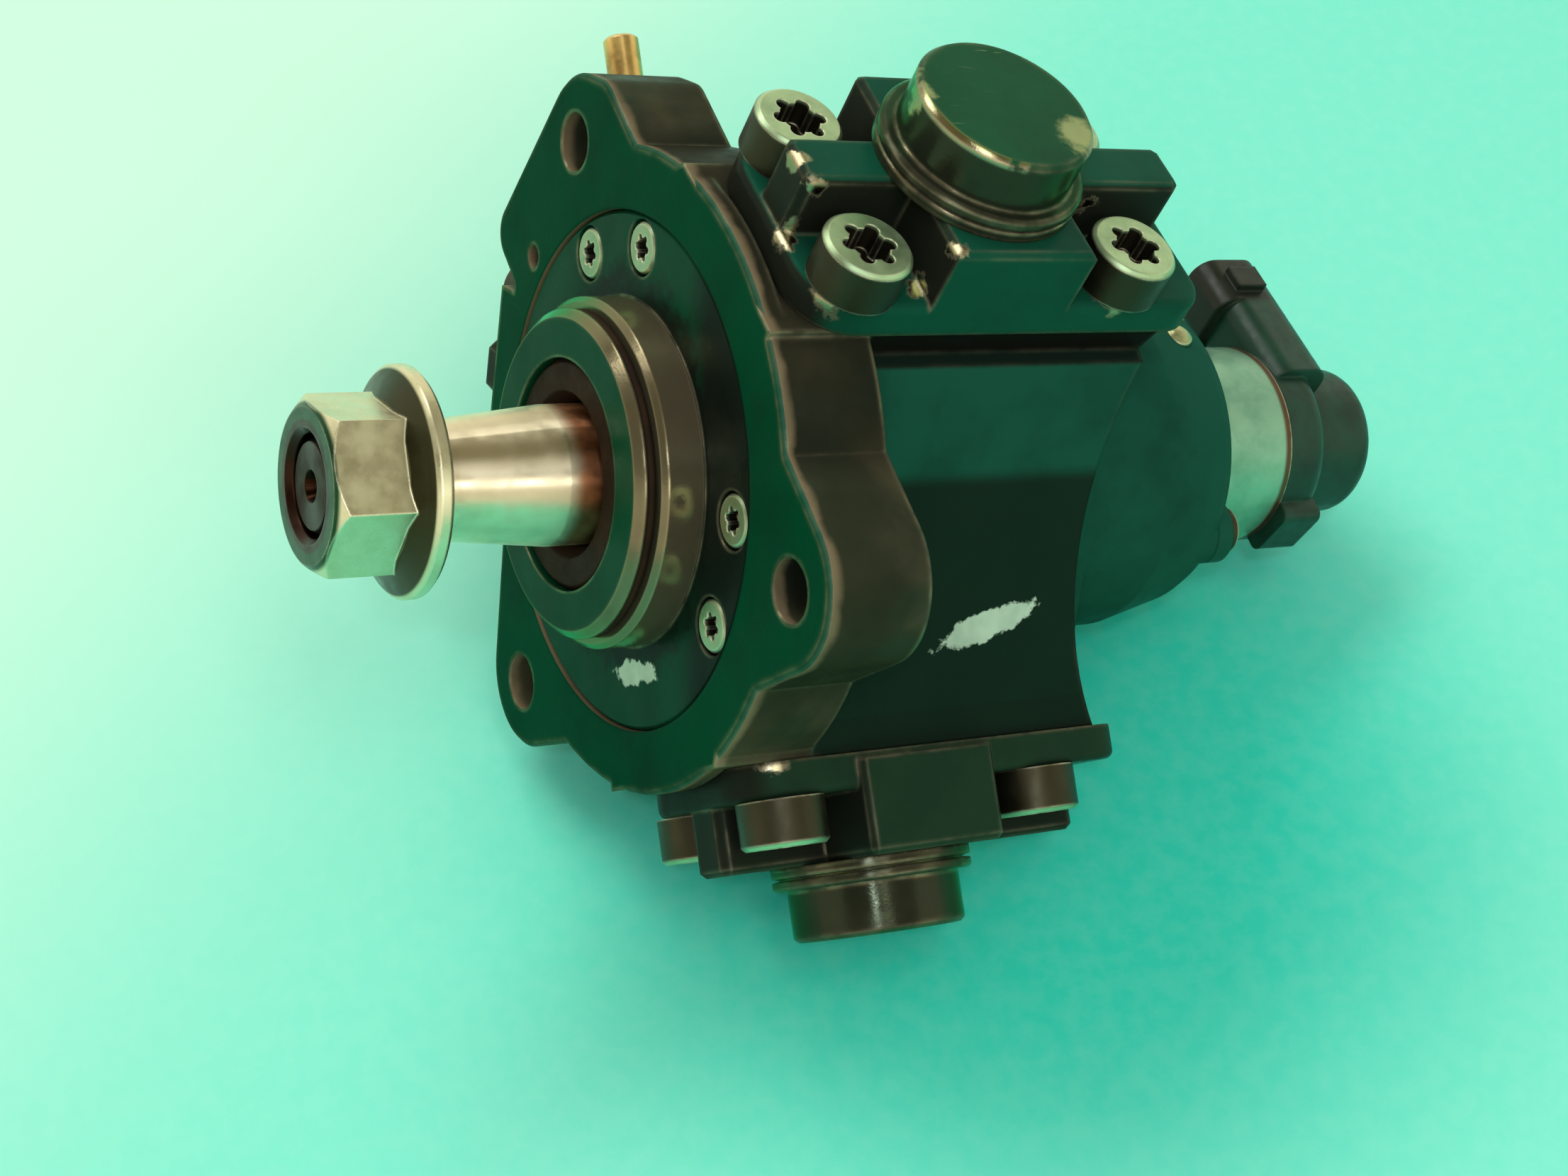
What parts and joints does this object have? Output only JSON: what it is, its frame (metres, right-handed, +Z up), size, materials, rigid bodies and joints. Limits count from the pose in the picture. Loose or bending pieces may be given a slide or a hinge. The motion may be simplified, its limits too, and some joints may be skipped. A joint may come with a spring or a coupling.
{
  "type": "diesel injection pump",
  "caption": "Radial-piston high-pressure fuel pump: three-eared flange, tapered drive shaft with nut, radial cylinder heads with round caps, and a solenoid metering valve at the rear.",
  "frame": {"origin": "on the drive-shaft axis at the front face of the mounting flange", "axes": "+X to the rear along the shaft, away from the engine's drive; +Z up through cylinder 1; +Y to the side with the hose stubs"},
  "size_m": [0.1815, 0.1421, 0.1283],
  "materials": {
    "housing_metal": "semi-gloss dark green-black phosphate",
    "cover_metal": "semi-gloss dark green-black phosphate, turned",
    "head_metal": "semi-gloss dark green-black phosphate",
    "cap_metal": "semi-gloss dark green-black phosphate, worn edge",
    "screw_metal": "zinc flake, satin",
    "small_screw_metal": "plated, satin",
    "shaft_steel": "ground",
    "nut_metal": "yellow-passivated zinc",
    "plug_metal": "plated",
    "union_metal": "plated",
    "bush_bronze": "bronze bearing metal",
    "inner_steel": "ground and hardened",
    "spring_steel": "drawn wire",
    "seal_rubber": "brown-black, matt",
    "can_steel": "satin plated can",
    "valve_body_metal": "satin",
    "coil_copper": "wound enamelled copper, potted",
    "cap_plastic": "moulded, slightly glossy",
    "pin_metal": "tinned brass",
    "stub_brass": "bare brass"
  },
  "bodies": {
    "housing": {"pump_housing": "housing_metal", "front_cover": "cover_metal", "cylinder_head_1": "head_metal", "cylinder_head_2": "head_metal", "cylinder_head_3": "head_metal", "head_cap_1": "cap_metal", "head_cap_2": "cap_metal", "head_cap_3": "cap_metal", "head_screws": "screw_metal", "cover_screws": "small_screw_metal", "valve_screws": "small_screw_metal", "delivery_plugs": "plug_metal", "ball_plug": "plug_metal", "outlet_union": "union_metal", "front_bush": "bush_bronze", "rear_bush": "bush_bronze", "thrust_washer": "bush_bronze", "plunger_spring_1": "spring_steel", "inlet_spring_1": "spring_steel", "delivery_spring_1": "spring_steel", "plunger_spring_2": "spring_steel", "inlet_spring_2": "spring_steel", "delivery_spring_2": "spring_steel", "plunger_spring_3": "spring_steel", "inlet_spring_3": "spring_steel", "delivery_spring_3": "spring_steel", "metering_spring": "spring_steel", "shaft_seal": "seal_rubber", "pilot_o_ring": "seal_rubber", "valve_o_ring": "seal_rubber", "metering_valve_can": "can_steel", "metering_valve_body": "valve_body_metal", "metering_coil": "coil_copper", "metering_valve_cap": "cap_plastic", "connector_pins": "pin_metal", "return_stub": "stub_brass", "fuel_inlet_stub": "stub_brass"},
    "shaft": {"drive_shaft": "shaft_steel", "shaft_nut": "nut_metal"},
    "ring": {"eccentric_ring": "inner_steel", "ring_bush": "bush_bronze"},
    "valve_piston": {"metering_piston": "inner_steel"},
    "plunger_unit_1": {"tappet_plate_1": "inner_steel", "plunger_1": "inner_steel"},
    "inlet_valve_body_1": {"inlet_valve_1": "inner_steel"},
    "delivery_ball_body_1": {"delivery_ball_1": "inner_steel"},
    "plunger_unit_2": {"tappet_plate_2": "inner_steel", "plunger_2": "inner_steel"},
    "inlet_valve_body_2": {"inlet_valve_2": "inner_steel"},
    "delivery_ball_body_2": {"delivery_ball_2": "inner_steel"},
    "plunger_unit_3": {"tappet_plate_3": "inner_steel", "plunger_3": "inner_steel"},
    "inlet_valve_body_3": {"inlet_valve_3": "inner_steel"},
    "delivery_ball_body_3": {"delivery_ball_3": "inner_steel"}
  },
  "joints": [
    {"name": "shaft_spin", "type": "hinge", "parent": "housing", "child": "shaft", "pos_m": [0, 0, 0], "axis": [1, 0, 0], "continuous": true},
    {"name": "ring_spin", "type": "hinge", "parent": "shaft", "child": "ring", "pos_m": [0.0323, 0, 0.0034], "axis": [1, 0, 0], "continuous": true},
    {"name": "piston_slide", "type": "slide", "parent": "housing", "child": "valve_piston", "axis": [1, 0, 0], "range_m": [0, 0.003], "deforming": ["metering_spring"]},
    {"name": "plunger_slide_1", "type": "slide", "parent": "housing", "child": "plunger_unit_1", "axis": [0, 0, 1], "range_m": [0, 0.0068], "deforming": ["plunger_spring_1"]},
    {"name": "inlet_slide_1", "type": "slide", "parent": "housing", "child": "inlet_valve_body_1", "axis": [0, 0, -1], "range_m": [0, 0.0005], "deforming": ["inlet_spring_1"]},
    {"name": "delivery_slide_1", "type": "slide", "parent": "housing", "child": "delivery_ball_body_1", "axis": [1, 0, 0], "range_m": [0, 0.0008], "deforming": ["delivery_spring_1"]},
    {"name": "plunger_slide_2", "type": "slide", "parent": "housing", "child": "plunger_unit_2", "axis": [0, -0.866, -0.5], "range_m": [0, 0.0068], "deforming": ["plunger_spring_2"]},
    {"name": "inlet_slide_2", "type": "slide", "parent": "housing", "child": "inlet_valve_body_2", "axis": [0, 0.866, 0.5], "range_m": [0, 0.0005], "deforming": ["inlet_spring_2"]},
    {"name": "delivery_slide_2", "type": "slide", "parent": "housing", "child": "delivery_ball_body_2", "axis": [1, 0, 0], "range_m": [0, 0.0008], "deforming": ["delivery_spring_2"]},
    {"name": "plunger_slide_3", "type": "slide", "parent": "housing", "child": "plunger_unit_3", "axis": [0, 0.866, -0.5], "range_m": [0, 0.0068], "deforming": ["plunger_spring_3"]},
    {"name": "inlet_slide_3", "type": "slide", "parent": "housing", "child": "inlet_valve_body_3", "axis": [0, -0.866, 0.5], "range_m": [0, 0.0005], "deforming": ["inlet_spring_3"]},
    {"name": "delivery_slide_3", "type": "slide", "parent": "housing", "child": "delivery_ball_body_3", "axis": [1, 0, 0], "range_m": [0, 0.0008], "deforming": ["delivery_spring_3"]}
  ],
  "couplings": [
    {"joint": "ring_spin", "follows": "shaft_spin", "ratio": -1}
  ]
}
